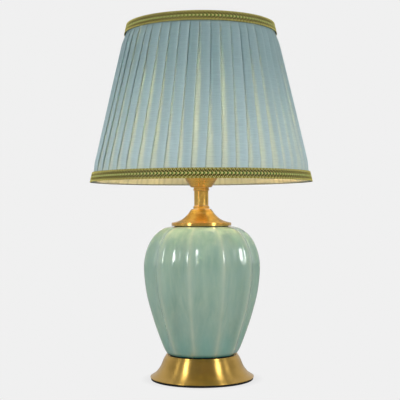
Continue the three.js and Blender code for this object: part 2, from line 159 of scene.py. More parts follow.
def tube(path, radius, sides=12, closed=False):
    """A round wire along a path, with flat ends unless it is closed."""
    path = np.array(path, float)
    if closed:
        along = np.roll(path, -1, 0) - np.roll(path, 1, 0)
    else:
        along = np.gradient(path, axis=0)
    along /= np.linalg.norm(along, axis=1)[:, None]
    side = np.cross(along[0], [0.31, 0.17, 0.93])
    sides_at = []
    for direction in along:
        side = side - direction * side.dot(direction)
        side = side / np.linalg.norm(side)
        sides_at.append(side)
    first = np.array(sides_at)
    second = np.cross(along, first)
    angle = np.arange(sides) * TURN / sides
    around = first[:, None] * np.cos(angle)[None, :, None] + second[:, None] * np.sin(angle)[None, :, None]
    points = (path[:, None] + around * radius).reshape(-1, 3)
    faces = [*grid_faces(len(path), sides, close_rows=closed)]
    if not closed:
        faces.append(np.arange(sides)[::-1])
        faces.append(np.arange(sides) + (len(path) - 1) * sides)
    return points, faces


def joined(*solids):
    """Several point and face lists as one."""
    points, faces, start = [], [], 0
    for solid_points, solid_faces in solids:
        points.append(solid_points)
        faces += [np.asarray(face) + start for face in solid_faces]
        start += len(solid_points)
    return np.vstack(points), faces


def bezier(a, b, c, d, steps):
    """Points of a cubic curve without its last point."""
    t = np.linspace(0, 1, steps, endpoint=False)[:, None]
    a, b, c, d = (np.array(p, float) for p in (a, b, c, d))
    return [*((1 - t)**3 * a + 3 * t * (1 - t)**2 * b + 3 * t**2 * (1 - t) * c + t**3 * d)]


def new_object(name, data):
    """An object in the scene."""
    thing = bpy.data.objects.new(name, data)
    bpy.context.scene.collection.objects.link(thing)
    return thing


def add_piece(name, node, solid, material, sharp=32, values=None):
    """Makes a piece from points in millimetres and faces, and puts it in place of a CAD node.
    values are numbers at the points, for the material to read."""
    points, faces = solid
    mesh = bpy.data.meshes.new(name)
    mesh.from_pydata((np.asarray(points) * MM).tolist(), [], [list(map(int, face)) for face in faces])
    for key, value in (values or {}).items():
        layer = mesh.attributes.new(key, "FLOAT", "POINT")
        layer.data.foreach_set("value", np.ravel(value).astype(np.float32))
    bm = bmesh.new()
    bm.from_mesh(mesh)
    bmesh.ops.remove_doubles(bm, verts=bm.verts, dist=1e-7)
    if not any(edge.is_boundary for edge in bm.edges):
        bmesh.ops.recalc_face_normals(bm, faces=bm.faces)
    bm.to_mesh(mesh)
    bm.free()
    mesh.shade_smooth()
    mesh.set_sharp_from_angle(angle=math.radians(sharp))
    mesh.materials.append(material)
    piece = new_object(name, mesh)
    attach(piece, BODY_OF[node])
    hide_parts(node)
    return piece


def bore(piece, start, end, radius):
    """Cuts a round hole through a piece, from one point to another, in metres."""
    start, end = Vector(start), Vector(end)
    turn = (end - start).to_track_quat("Z", "Y").to_matrix().to_4x4()
    bm = bmesh.new()
    bmesh.ops.create_cone(bm, cap_ends=True, segments=48, radius1=radius, radius2=radius,
                          depth=(end - start).length, matrix=Matrix.Translation((start + end) / 2) @ turn)
    drill_mesh = bpy.data.meshes.new("drill")
    bm.to_mesh(drill_mesh)
    bm.free()
    drill = new_object("drill", drill_mesh)
    cut = piece.modifiers.new("bore", "BOOLEAN")
    cut.object = drill
    cut.operation = "DIFFERENCE"
    cut.solver = "EXACT"
    with bpy.context.temp_override(object=piece):
        bpy.ops.object.modifier_apply(modifier=cut.name)
    bpy.data.objects.remove(drill)
    bpy.data.meshes.remove(drill_mesh)


def low_of(node):
    """Lowest height of a CAD node, in millimetres."""
    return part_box(node)[0].z / MM


def high_of(node):
    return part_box(node)[1].z / MM


def height_of(node):
    return high_of(node) - low_of(node)


def raised(profile, by):
    return [[radius, height + by] for radius, height in profile]


def add_turned(name, node, profile, material, sides=ROUND, reshape=None):
    """A turned piece in place of a CAD node, its heights measured from the node's lowest point."""
    return add_piece(name, node, lathe(raised(profile, low_of(node)), sides, reshape), material)


# --- material helpers


class Graph:
    """A short way to write a material's nodes."""

    def __init__(self, owner):
        owner.use_nodes = True
        self.tree = owner.node_tree
        self.tree.nodes.clear()

    def add(self, kind, inputs=None, **settings):
        """A shader node, its inputs given as numbers, colours or other nodes' outputs."""
        node = self.tree.nodes.new("ShaderNode" + kind)
        for key, value in settings.items():
            setattr(node, key, value)
        for key, value in (inputs or {}).items():
            socket = node.inputs[key]
            if isinstance(value, bpy.types.NodeSocket):
                self.tree.links.new(value, socket)
            else:
                socket.default_value = (*value, 1.0) if socket.type == "RGBA" else value
        return node

    def math(self, operation, a, b=0.0):
        return self.add("Math", {0: a, 1: b}, operation=operation).outputs[0]

    def times(self, a, b):
        return self.math("MULTIPLY", a, b)

    def plus(self, a, b):
        return self.math("ADD", a, b)

    def mix(self, share, a, b):
        """Colour a where share is 0 and colour b where it is 1."""
        node = self.add("Mix", {0: share, 6: a, 7: b}, data_type="RGBA")
        return node.outputs[2]

    def span(self, value, low, high, to_low=0.0, to_high=1.0):
        """The value moved from one range to another, and held to the second one's ends."""
        inputs = {"Value": value, "From Min": low, "From Max": high, "To Min": to_low, "To Max": to_high}
        return self.add("MapRange", inputs).outputs[0]

    def noise(self, vector, scale, detail=3.0, roughness=0.55):
        inputs = {"Vector": vector, "Scale": scale, "Detail": detail, "Roughness": roughness}
        return self.add("TexNoise", inputs).outputs["Fac"]

    def place(self):
        return self.add("TexCoord").outputs["Object"]

    def value(self, name):
        return self.add("Attribute", attribute_name=name).outputs["Fac"]

    def stretched(self, vector, scale):
        return self.add("VectorMath", {0: vector, 1: scale}, operation="MULTIPLY").outputs[0]

    def length(self, vector):
        return self.add("VectorMath", {0: vector}, operation="LENGTH").outputs["Value"]

    def bump(self, height, distance):
        return self.add("Bump", {"Height": height, "Distance": distance, "Strength": 1.0}).outputs[0]

    def edges(self, low=0.505, high=0.56):
        """1 along the outward edges of a mesh, 0 elsewhere."""
        return self.span(self.add("NewGeometry").outputs["Pointiness"], low, high)

    def principled(self, **inputs):
        named = {key.replace("_", " "): value for key, value in inputs.items()}
        return self.add("BsdfPrincipled", named).outputs[0]

    def finish(self, shader):
        self.add("OutputMaterial", {"Surface": shader})


def new_material(name):
    material = bpy.data.materials.new(name)
    return material, Graph(material)


def brighter(tone, factor):
    """The same colour brightened, with no part past 1."""
    return [min(1.0, part * factor) for part in tone]


def turned_metal(name, body_colour, worn_colour, roughness, anisotropy):
    """Spun or turned metal, brushed round its axis."""
    material, g = new_material(name)
    place = g.place()
    radius = g.length(g.stretched(place, (1.0, 1.0, 0.0)))
    height = g.add("SeparateXYZ", {0: place}).outputs["Z"]
    rings = g.add("CombineXYZ", {"X": radius, "Y": height}).outputs[0]  # a noise read here runs in rings
    fine = g.noise(rings, 5200.0, 2.0)
    coarse = g.noise(rings, 900.0, 2.0)
    cloud = g.noise(place, 34.0, 4.0)
    tone = g.mix(g.span(cloud, 0.3, 0.7), body_colour, worn_colour)
    tone = g.mix(g.times(g.edges(), 0.5), tone, brighter(body_colour, 1.25))
    uneven = g.plus(g.times(fine, 0.10), g.times(cloud, 0.04))
    rough = g.plus(uneven, roughness - 0.07)
    grooves = g.plus(fine, g.times(coarse, 1.6))
    tangent = g.add("Tangent", direction_type="RADIAL", axis="Z").outputs[0]
    g.finish(g.principled(Base_Color=tone, Metallic=1.0, Roughness=rough, Anisotropic=anisotropy,
                          Anisotropic_Rotation=0.25, Tangent=tangent, Normal=g.bump(grooves, 0.00002)))
    return material


def plain_metal(name, body_colour, worn_colour, roughness):
    """Plated or drawn metal with fine scratches and duller patches."""
    material, g = new_material(name)
    place = g.place()
    cloud = g.noise(place, 60.0, 4.0)
    scratch = g.noise(g.stretched(place, (1.0, 1.0, 0.12)), 2800.0, 3.0)
    tone = g.mix(g.span(cloud, 0.35, 0.7), body_colour, worn_colour)
    tone = g.mix(g.times(g.edges(), 0.6), tone, brighter(body_colour, 1.3))
    rough = g.span(g.plus(cloud, scratch), 0.7, 1.3, roughness - 0.07, roughness + 0.1)
    g.finish(g.principled(Base_Color=tone, Metallic=1.0, Roughness=rough,
                          Normal=g.bump(scratch, 0.00002)))
    return material


def dull_solid(name, light, dark, roughness, grain, relief, gloss=0.4):
    """Rubber, plastic, card or cast iron: two close tones and a grain."""
    material, g = new_material(name)
    place = g.place()
    cloud = g.noise(place, grain * 0.15, 4.0)
    grains = g.noise(place, grain, 5.0, 0.65)
    tone = g.mix(cloud, light, dark)
    worn = [part * 1.8 for part in light]
    tone = g.mix(g.times(g.edges(0.52, 0.62), 0.35), tone, worn)
    rough = g.span(grains, 0.3, 0.7, roughness - 0.08, roughness + 0.08)
    g.finish(g.principled(Base_Color=tone, Roughness=rough, Specular_IOR_Level=gloss,
                          Normal=g.bump(grains, relief)))
    return material


def celadon_glaze():
    """Glossy glaze, thin and pale on the ridges, pooled and greener in the flutes."""
    material, g = new_material("celadon_glaze_fluted")
    place = g.place()
    ridge = g.value("ridge")
    streaks = g.noise(g.stretched(place, (1.0, 1.0, 0.16)), 130.0, 4.0)
    cloud = g.noise(place, 22.0, 3.0)
    pool = g.mix(g.span(streaks, 0.3, 0.7), (0.275, 0.445, 0.355), (0.390, 0.540, 0.430))
    pool = g.mix(g.span(cloud, 0.35, 0.65, 0.0, 0.6), pool, (0.320, 0.490, 0.420))
    pool = g.mix(g.times(g.value("pooled"), 0.55), pool, (0.150, 0.400, 0.370))
    # A broad lighter band over each ridge: the glaze is thinner there, and it is partly a painted highlight.
    pool = g.mix(g.times(g.math("POWER", ridge, 4.0), 0.4), pool, (0.42, 0.56, 0.46))
    thin = g.times(g.math("POWER", ridge, 34.0), g.span(streaks, 0.2, 0.8, 0.15, 0.45))
    tone = g.mix(thin, pool, (0.62, 0.68, 0.54))
    # Darkened to a deep teal in its lowest few millimetres, down in the foot's lip.
    tone = g.mix(g.value("darkened_bottom_edge"), tone, (0.055, 0.22, 0.21))
    specks = g.add("TexVoronoi", {"Vector": place, "Scale": 95.0, "Randomness": 1.0},
                   feature="F1").outputs["Distance"]
    pit = g.span(specks, 0.0, 0.075, 1.0, 0.0)
    pit = g.times(pit, g.span(g.noise(place, 41.0, 1.0), 0.52, 0.6))
    tone = g.mix(g.times(pit, 0.55), tone, (0.07, 0.17, 0.15))
    height = g.math("SUBTRACT", g.times(g.noise(place, 48.0, 2.0), 0.8), g.times(pit, 0.5))
    rough = g.span(streaks, 0.2, 0.8, 0.11, 0.17)
    g.finish(g.principled(Base_Color=tone, Roughness=rough, IOR=1.52, Specular_IOR_Level=0.5,
                          Coat_Weight=0.35, Coat_Roughness=0.13, Normal=g.bump(height, 0.0006)))
    return material


def shade_cloth():
    """Thin satin cloth: woven, with slubs; it lets more light through where it is one layer deep, and a
    painted glow brightens it there and low down by the bulb.
    """
    material, g = new_material("pleated_satin")
    across, along = g.value("cloth_across"), g.value("cloth_along")
    weave_place = g.add("CombineXYZ", {"X": across, "Y": along}).outputs[0]
    warp = g.math("SINE", g.times(across, TURN / 0.0006))
    weft = g.math("SINE", g.times(along, TURN / 0.0005))
    threads = g.times(warp, weft)
    slubs = g.noise(g.stretched(weave_place, (60.0, 900.0, 1.0)), 1.0, 3.0)
    streaks = g.noise(g.stretched(weave_place, (420.0, 14.0, 1.0)), 1.0, 3.0)
    tone = g.mix(g.span(slubs, 0.35, 0.7), (0.365, 0.530, 0.560), (0.450, 0.620, 0.645))
    tone = g.mix(g.span(streaks, 0.35, 0.7, 0.0, 0.6), tone, (0.480, 0.640, 0.660))
    # Painted shade: some pleats darker at random, as if turned away from the light.
    tone = g.mix(g.times(g.value("painted_pleat_shade"), 0.30), tone, (0.270, 0.430, 0.420))
    # Painted highlight: lighter along the bulging crest before each folded edge.
    tone = g.mix(g.times(g.value("crest_painted_highlight"), 0.75), tone, (0.640, 0.790, 0.800))
    # Painted shade: dark teal in the tucks under each folded edge.
    tone = g.mix(g.value("tuck_painted_shade"), tone, (0.018, 0.130, 0.095))
    glow = g.mix(g.span(slubs, 0.35, 0.7), (0.56, 0.72, 0.84), (0.66, 0.84, 0.95))
    normal = g.bump(g.plus(g.times(threads, 0.35), g.times(slubs, 1.2)), 0.00006)
    rough = g.span(slubs, 0.3, 0.7, 0.42, 0.58)
    # Painted glow: emission standing for the bulb's light coming through, strongest low down and held back
    # in the tucks.
    painted_glow_share = g.times(g.span(along, 0.045, 0.165, 1.0, 0.0), g.span(slubs, 0.3, 0.7, 0.85, 1.1))
    painted_glow_share = g.times(painted_glow_share, g.span(g.value("tuck_painted_shade"), 0.0, 0.5, 1.0, 0.1))
    painted_bulb_glow = g.mix(g.value("single"), (0.192, 0.208, 0.216), (0.42, 0.380, 0.288))
    painted_bulb_glow = g.mix(painted_glow_share, (0.0, 0.0, 0.0), painted_bulb_glow)
    front = g.principled(Base_Color=tone, Roughness=rough, Specular_IOR_Level=0.35, Sheen_Weight=0.25,
                         Sheen_Roughness=0.4, Sheen_Tint=(0.85, 0.95, 1.0), Normal=normal,
                         Emission_Color=painted_bulb_glow, Emission_Strength=1.0)
    through = g.add("BsdfTranslucent", {"Color": glow, "Normal": normal}).outputs[0]
    share = g.span(g.value("single"), 0.0, 1.0, 0.36, 0.58)
    g.finish(g.add("MixShader", {0: share, 1: front, 2: through}).outputs[0])
    return material


def lining_cloth():
    """Cream lining: fine weave, with painted shade along its gathers and in greyer upright patches."""
    material, g = new_material("gathered_lining")
    place = g.place()
    slubs = g.noise(g.stretched(place, (1.0, 1.0, 5.0)), 260.0, 3.0)
    tone = g.mix(g.span(slubs, 0.35, 0.7), (0.82, 0.75, 0.55), (0.91, 0.85, 0.64))
    # Painted shade: greyer upright patches where less of the bulb's light falls.
    cloud = g.noise(g.stretched(place, (1.0, 1.0, 0.3)), 11.0, 2.0)
    tone = g.mix(g.span(cloud, 0.42, 0.62, 0.0, 0.55), tone, (0.40, 0.43, 0.34))
    # Painted shade along the gathers' creases.
    tone = g.mix(g.value("gather_depth_and_painted_shade"), tone, (0.30, 0.31, 0.22))
    normal = g.bump(slubs, 0.0001)
    front = g.principled(Base_Color=tone, Roughness=0.8, Specular_IOR_Level=0.15, Sheen_Weight=0.2,
                         Normal=normal)
    through = g.add("BsdfTranslucent", {"Color": tone, "Normal": normal}).outputs[0]
    g.finish(g.add("MixShader", {0: 0.5, 1: front, 2: through}).outputs[0])
    return material


def braid_thread():
    """Twisted silk cord in gold and green, and a dark tone for painted shade between the cords; the strand
    value picks the colour.
    """
    material, g = new_material("silk_braid")
    place = g.place()
    fibres = g.noise(g.stretched(place, (1.0, 1.0, 0.35)), 2600.0, 3.0)
    cloud = g.noise(place, 90.0, 2.0)
    ramp = g.add("ValToRGB", {"Fac": g.value("strand")})
    ramp.color_ramp.interpolation = "CONSTANT"
    # The darkest stop is painted shade: the band behind the cords and the lines between the rows.
    stops = [(0.0, (0.050, 0.034, 0.005)), (0.2, (0.085, 0.235, 0.030)),
             (0.5, (0.520, 0.445, 0.060)), (0.8, (0.900, 0.840, 0.290))]
    elements = ramp.color_ramp.elements
    elements.remove(elements[1])
    elements[0].color = (*stops[0][1], 1.0)
    for position, tone in stops[1:]:
        elements.new(position).color = (*tone, 1.0)
    shaded = g.mix(g.span(fibres, 0.3, 0.7, 0.35, 0.0), ramp.outputs[0], (0.10, 0.08, 0.015))
    tone = g.mix(g.span(cloud, 0.4, 0.7, 0.0, 0.12), shaded, (0.30, 0.25, 0.04))
    g.finish(g.principled(Base_Color=tone, Roughness=0.5, Specular_IOR_Level=0.3, Sheen_Weight=0.08,
                          Sheen_Tint=(1.0, 0.95, 0.6), Normal=g.bump(fibres, 0.00012)))
    return material


def lit_opal():
    """Opal glass of the lit bulb, a little dimmer towards its neck."""
    material, g = new_material("lit_opal_glass")
    place = g.place()
    height = g.add("SeparateXYZ", {0: place}).outputs["Z"]
    low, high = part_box("bulb_glass")
    warm = g.span(height, low.z, high.z)
    mottle = g.noise(place, 70.0, 2.0)
    glow = g.mix(warm, (1.0, 0.76, 0.43), (1.0, 0.87, 0.64))
    strength = g.times(g.span(warm, 0.0, 0.35, 0.55, 1.0), g.span(mottle, 0.2, 0.8, 0.95, 1.05))
    mirrored = g.add("LightPath").outputs["Is Glossy Ray"]
    strength = g.times(strength, g.span(mirrored, 0.0, 1.0, BULB_GLOW, 0.1 * BULB_GLOW))
    g.finish(g.principled(Base_Color=(0.9, 0.86, 0.78), Roughness=0.25, Emission_Color=glow,
                          Emission_Strength=strength))
    return material


BRASS = (0.75, 0.475, 0.125)
BRASS_DULL = (0.65, 0.405, 0.098)
NECK_BRASS = (0.86, 0.53, 0.145)
NECK_BRASS_DULL = (0.80, 0.48, 0.125)
PLATED = (0.62, 0.42, 0.16)
PLATED_DULL = (0.48, 0.32, 0.12)

foot_brass = turned_metal("spun_foot_brass", BRASS, BRASS_DULL, 0.34, 0.97)
neck_brass = turned_metal("turned_neck_brass", NECK_BRASS, NECK_BRASS_DULL, 0.27, 0.94)
socket_brass = turned_metal("rolled_socket_brass", PLATED, PLATED_DULL, 0.34, 0.4)
wire_brass = plain_metal("plated_harp_brass", PLATED, PLATED_DULL, 0.30)
steel = plain_metal("zinc_steel", (0.48, 0.48, 0.47), (0.33, 0.33, 0.32), 0.38)
aluminium = plain_metal("rolled_aluminium", (0.72, 0.72, 0.71), (0.58, 0.58, 0.57), 0.30)
cast_iron = dull_solid("sand_cast_iron", (0.045, 0.045, 0.047), (0.03, 0.028, 0.026),
                       roughness=0.75, grain=900.0, relief=0.0004)
rubber = dull_solid("foot_pad_rubber", (0.022, 0.022, 0.023), (0.012, 0.012, 0.012),
                    roughness=0.8, grain=1600.0, relief=0.00008, gloss=0.25)
plastic = dull_solid("moulded_plastic", (0.020, 0.014, 0.010), (0.012, 0.009, 0.008),
                     roughness=0.36, grain=1300.0, relief=0.00003)
card = dull_solid("fibre_liner", (0.32, 0.21, 0.10), (0.24, 0.15, 0.07),
                  roughness=0.85, grain=2200.0, relief=0.0001, gloss=0.15)
enamel = dull_solid("wire_enamel", (0.76, 0.73, 0.64), (0.70, 0.66, 0.55),
                    roughness=0.45, grain=500.0, relief=0.00005)
glaze = celadon_glaze()
satin = shade_cloth()
lining = lining_cloth()
braid = braid_thread()
opal = lit_opal()

# --- foot


def build_foot():
    flare = spline([[74.7, 1.1], [71.4, 3.2], [67.6, 5.8], [62.7, 11.3], [59.3, 16.9], [56.9, 22.8],
                    [54.6, 27.9], [52.4, 31.1]])
    skirt = [[74.3, 0], *arc((74.3, 0.4), 0.4, -70, 0, 4), *flare]
    lip = arc((50.9, 31.3), 1.4, 20, 170, 12)
    plate, wall = 30.2, 1.2
    under = [[ROD_HOLE, plate - wall], [50.4, plate - wall]]
    inside = [*inset(flare, wall)[::-1], [73.5, 0]]
    profile = [*skirt, *lip, [49.4, plate], [ROD_HOLE, plate], *under, *inside]
    foot = add_turned("spun_foot", "foot_shell", profile, foot_brass)

    slope = math.radians(27)  # the cord's hole is square to the sloping back of the foot
    outward = Vector((0, math.cos(slope), math.sin(slope)))
    hole = Vector((0, 59.3, 20)) * MM
    bore(foot, hole - outward * 0.007, hole + outward * 0.007, 0.0041)

    profile = [[2.5, -4], [3.6, -4], *arc((3.4, 0.7), 0.3, -60, -10, 2), [3.7, 0.9],
               *arc((4.6, 1.5), 0.6, -80, 60, 8), *arc((3.4, 2.3), 0.3, 60, 120, 4),
               *arc((2.9, 2.1), 0.4, 110, 180, 4)]
    points, faces = lathe(profile, 64)
    turn = outward.to_track_quat("Z", "Y").to_matrix()
    points = points @ np.array(turn).T + np.array(hole) / MM
    add_piece("moulded_cord_bushing", "cord_bushing", (points, faces), plastic)

    top = height_of("foot_pad")
    grooves = [[radius, 0.5 if index % 2 else 0.0] for index, radius in enumerate(np.linspace(8, 64, 15))]
    edge = [*arc((73, 0.8), 0.8, -90, 0, 5), *arc((73, top - 0.8), 0.8, 0, 90, 5)]
    add_turned("ribbed_foot_pad", "foot_pad", [[0, 0], *grooves, *edge, [0, top]], rubber)

    thick = height_of("seat_gasket")
    profile = [[30, 0], [45.6, 0], *arc((45.2, thick / 2), thick / 2 - 0.1, -80, 80, 6), [30, thick]]
    add_turned("vase_seat_gasket", "seat_gasket", profile, rubber)


# --- vase


def flute_share(angle):
    """Share of the depth across a flute: 1 at its middle, 0 on the rounded ridge between two.
    The angle is counted from +X, and the flutes from the front."""
    flutes_round = (angle + math.pi / 2 - FLUTE_TURN) * FLUTES / TURN
    across = 2 * np.abs(flutes_round - np.floor(flutes_round) - 0.5)
    hollow = 1 - across**2 / FLUTE_HOLLOW
    ridge = (1 - across)**2 / (1 - FLUTE_HOLLOW)
    return np.where(across < FLUTE_HOLLOW, hollow, ridge)


def build_vase():
    base, top = low_of("ceramic_body"), high_of("ceramic_body")
    mouth = 30
    outside = spline([[48, 0], [50.6, 1.4], [55.4, 9.4], [62.4, 27], [71.5, 53.4], [80.6, 88], [84.4, 122.4],
                      [82.5, 143], [76.2, 160.4], [67.6, 172.2], [56, 180.5], [46, 183.3]], 10)
    inside = spline([[mouth, 177.4], [60, 170.4], [77, 144.4], [79.4, 120.4], [74.8, 85.4], [63, 48.4],
                     [46, 11.4]], 6)
    rounded = arc((mouth + 1, 182.3), 1, 90, 180, 4)
    profile = raised([*outside, *rounded, *inside, [14, 6.9], [14, 0]], base)

    def fluted(radius, height, angle):
        share = between(height, base - 14, base + 44, top - 20, top + 8) * smoothstep(radius, 30, 54)
        return radius - FLUTE_DEPTH * share * flute_share(angle)

    sides = FLUTES * 36
    points, faces = lathe(profile, sides, fluted)
    angle = np.arange(sides) * TURN / sides
    height = np.array(profile)[:, 1:]
    share = flute_share(angle)[None, :]
    ridge = (1 - share) * smoothstep(height, base, base + 5)
    # Share of the deep teal darkening along the very bottom edge.
    darkened_bottom_edge = (1 - smoothstep(height, base + 1, base + 5)) + 0 * share
    pooled = (1 - smoothstep(height, base + 2, base + 58)) * (0.12 + 0.88 * share**0.7)
    add_piece("glazed_vase", "ceramic_body", (points, faces), glaze,
              values={"ridge": ridge, "darkened_bottom_edge": darkened_bottom_edge, "pooled": pooled})


# --- neck


def build_neck():
    top = 24.1
    flare = spline([[38, 5.5], [31.4, 7.8], [26.4, 10.7], [20.3, 16.1], [16.4, 21.5], [14.2, top]], 10)
    outside = [[33, 0], *arc((42.6, 0.8), 0.8, -85, 0, 6), *arc((42.3, 3.8), 1, 0, 80, 6), *flare]
    inner = inset(outside, 1.2)
    under_top = top - 1.4
    profile = [*outside, [ROD_HOLE, top], [ROD_HOLE, under_top], [inner[-1][0], under_top], *inner[-2::-1]]
    add_turned("spun_vase_cap", "vase_cap", profile, neck_brass)

    profile = [[ROD_HOLE, 0], [11.2, 0], *arc((10.2, 2.3), 1.7, -62, 50, 12), [10.9, 4.2],
               [10.7, 4.5], [ROD_HOLE, 4.5]]
    add_turned("beaded_neck_collar", "neck_collar_lower", profile, neck_brass, sides=96)

    tall = height_of("neck_tube")
    profile = [[9.4, 0], [10.2, 0], [10.4, 0.3], [10.4, tall - 0.3], [10.2, tall], [9.4, tall]]
    add_turned("turned_neck_tube", "neck_tube", profile, neck_brass, sides=96)

    profile = [[ROD_HOLE, 0], [11.4, 0], *arc((11.2, 0.4), 0.4, -60, 0, 4), *arc((11.2, 1.7), 0.4, 0, 70, 4),
               [11, 2.5], [11, 4.5], [ROD_HOLE, 4.5]]
    add_turned("stepped_neck_collar", "neck_collar_upper", profile, neck_brass, sides=96)

    flare = spline([[15.8, 0.9], [18.2, 4.7], [21, 8.7], [23.5, 12.7], [24.6, 15.7]], 10)
    outside = [[ROD_HOLE, 0], [14.4, 0], *arc((14.4, 0.5), 0.5, -80, -10, 4), *flare]
    add_turned("flared_neck_cup", "neck_cup", walled(outside, 0.9), neck_brass, sides=112)


# --- socket, switch and bulb


def add_screw_shell(name, node, radius, depth, plain_end):
    """A thin aluminium cylinder with a rolled screw thread that stops short of its upper end."""
    low, high = low_of(node), high_of(node)
    end = high - plain_end
    run_out = 1.5

    def threaded(outer, height, angle):
        wave = 0.5 + 0.5 * np.cos(TURN * height / SCREW_PITCH - angle)
        return outer - depth * between(height, low, low + run_out, end - run_out, end) * (1 - wave)

    heights = np.linspace(low, high, 64)
    inner = radius - 0.35
    profile = [*[[radius, z] for z in heights], *[[inner, z] for z in heights[::-1]]]
    add_piece(name, node, lathe(profile, 72, threaded), aluminium)


def build_socket():
    dome = spline([[7.5, 0], [12.6, 3], [16, 7.2], [17.9, 11.5]], 8)
    bead = arc((17.6, 15.6), 0.6, -60, 60, 6)
    outside = [[ROD_HOLE, 0], *dome, [17.9, 14.9], *bead, [17.9, 16.4], [17.9, 17.5]]
    add_turned("domed_socket_cap", "socket_cap", walled(outside, 0.7), socket_brass, sides=96)

    radius = 16.9
    beads = [point for height in (14, 33) for point in arc((radius - 0.25, height), 0.6, -65, 65, 6)]
    mouth = spline([[radius + 0.2, 44.2], [radius + 0.7, 46]], 4)
    profile = walled([[radius, 0], *beads, [radius, 43], *mouth], 0.6)
    shell = add_turned("rolled_socket_shell", "socket_shell", profile, socket_brass, sides=96)
    stem_low, stem_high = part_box("switch_stem")
    stem_z = (stem_low.z + stem_high.z) / 2
    bore(shell, (0, -0.010, stem_z), (0, -0.024, stem_z), 0.0024)

    add_screw_shell("threaded_screw_shell", "socket_screw_shell", radius=14.6, depth=0.45, plain_end=0.0)


def build_switch():
    low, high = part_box("switch_stem")
    stem_z = (low.z + high.z) / 2 / MM
    outer, inner = -low.y / MM, -high.y / MM  # the stem's ends, forwards of the axis

    def forwards(solid):
        """Turns a piece built along +Z to point to the front from the axis."""
        points, faces = solid
        return np.stack([points[:, 0], -points[:, 2], points[:, 1] + stem_z], -1), faces

    profile = [[0, inner], [1.5, inner], [1.8, inner + 0.4], [1.8, outer - 0.4], [1.5, outer], [0, outer]]
    add_piece("turned_switch_stem", "switch_stem", forwards(lathe(profile, 32)), wire_brass)

    def gripped(radius, height, angle):
        ribs = 0.5 + 0.5 * np.cos(22 * angle)
        depth = 0.45 * between(height, 25, 26.5, 35, 36.5)
        return np.where(radius > 6, radius - depth * (1 - ribs), radius)

    grip = [[6.4, z] for z in np.linspace(25.5, 36, 14)]
    profile = [[0, 36.6], [2.1, 36.6], [2.1, 24], [5.4, 24], *arc((5.7, 24.9), 0.7, -70, 0, 5), *grip,
               *arc((5.2, 36.6), 1.2, 0, 80, 6), [3, 38.2], [0, 38.4]]
    add_piece("ribbed_switch_knob", "switch_knob", forwards(lathe(profile, 132, gripped)), plastic)


def build_bulb():
    centre, globe_radius, wall = 28.2, 22.5, 1
    neck = spline([[13.2, 0], [13.6, 4.2], [15.4, 9.7], [18.4, 15.3]], 6)
    globe = arc((0, centre), globe_radius, -35, 90, 22)[1:]
    outside = [*neck, *globe]
    inside = inset(outside, wall)[:-1][::-1]
    crown = centre + globe_radius
    outside[-1] = [0, crown]
    profile = [[0, crown - wall], *inside, *outside]
    add_turned("opal_globe", "bulb_glass", profile, opal, sides=64)

    add_screw_shell("rolled_screw_cap", "bulb_cap", radius=13.1, depth=0.75, plain_end=1.5)
    tall = height_of("bulb_insulator")
    profile = [[0, 0], [4.6, 0], *spline([[6.5, 0.7], [9.6, 2.2], [11.8, tall]], 4), [0, tall]]
    add_turned("glass_insulator", "bulb_insulator", profile, plastic, sides=48)
    tall = height_of("bulb_contact")
    profile = [[0, 0], *arc((3.4, 0.8), 0.8, -90, 0, 5), [4.2, tall], [0, tall]]
    add_turned("solder_contact", "bulb_contact", profile, steel, sides=40)


# --- harp and finial


def build_harp():
    low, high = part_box("harp_wire")
    wire = 2.2
    foot_z, top_z = low.z / MM, high.z / MM - wire
    width = high.x / MM - wire
    leg, bend_z, wide_z = 30.6, 352, 420
    left = [[-leg, 0, foot_z], [-leg, 0, foot_z + 20]]
    left += bezier([-leg, 0, bend_z], [-leg, 0, 376], [-width, 0, 388], [-width, 0, wide_z], 18)
    left += bezier([-width, 0, wide_z], [-width, 0, 460], [-24, 0, top_z], [0, 0, top_z], 26)
    path = np.array([*left, [0, 0, top_z], *[[-x, y, z] for x, y, z in left[::-1]]], float)
    add_piece("bent_harp_wire", "harp_wire", tube(path, wire, 16), wire_brass, sharp=40)

    tall, shoulder, stud_radius, pitch = height_of("harp_stud"), 3.2, 3.1, 0.94
    rows = [[stud_radius, z] for z in np.linspace(shoulder, tall - 0.5, 50)]
    profile = [[0, 0], *arc((6.5, 0.5), 0.5, -90, 0, 4), *arc((6.5, shoulder - 0.5), 0.5, 0, 90, 4),
               *rows, [2.6, tall], [0, tall]]

    def cut_thread(radius, height, angle):
        wave = 0.5 + 0.5 * np.cos(TURN * height / pitch - angle)
        return np.where(abs(radius - stud_radius) < 0.1, radius - 0.35 * (1 - wave), radius)

    add_turned("threaded_harp_stud", "harp_stud", profile, wire_brass, sides=40, reshape=cut_thread)

    for side in ("left", "right"):
        node = f"harp_sleeve_{side}"
        low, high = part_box(node)
        centre = (low.x + high.x) / 2 / MM
        bottom, top = low.z / MM, high.z / MM
        outside = [[4.9, bottom], *arc((4.9, bottom + 1), 0.3, -80, 80, 4), [4.9, bottom + 2.2],
                   [4.9, top - 2.2], *arc((4.9, top - 1), 0.3, -80, 80, 4), [4.9, top]]
        points, faces = lathe([*outside, [4.2, top], [4.2, bottom]], 48)
        points = points + np.array([centre, 0, 0])
        add_piece(f"beaded_sleeve_{side}", node, (points, faces), wire_brass)

    hole, ball, ball_z = 5.1, 7.4, 15.1
    waist = spline([[6.1, 3.5], [5.8, 6], [6.1, 8.9], [6.3, 11.2]], 5)
    profile = [[0, 14.7], [hole, 14.7], [hole, 0], [7.2, 0], *arc((7.1, 0.9), 0.5, -60, 60, 6),
               [6.5, 2.4], *waist, *arc((0, ball_z), ball, -30, 90, 22)]
    profile[-1] = [0, ball_z + ball]
    add_turned("turned_finial", "finial", profile, neck_brass, sides=72)


# --- shade frame


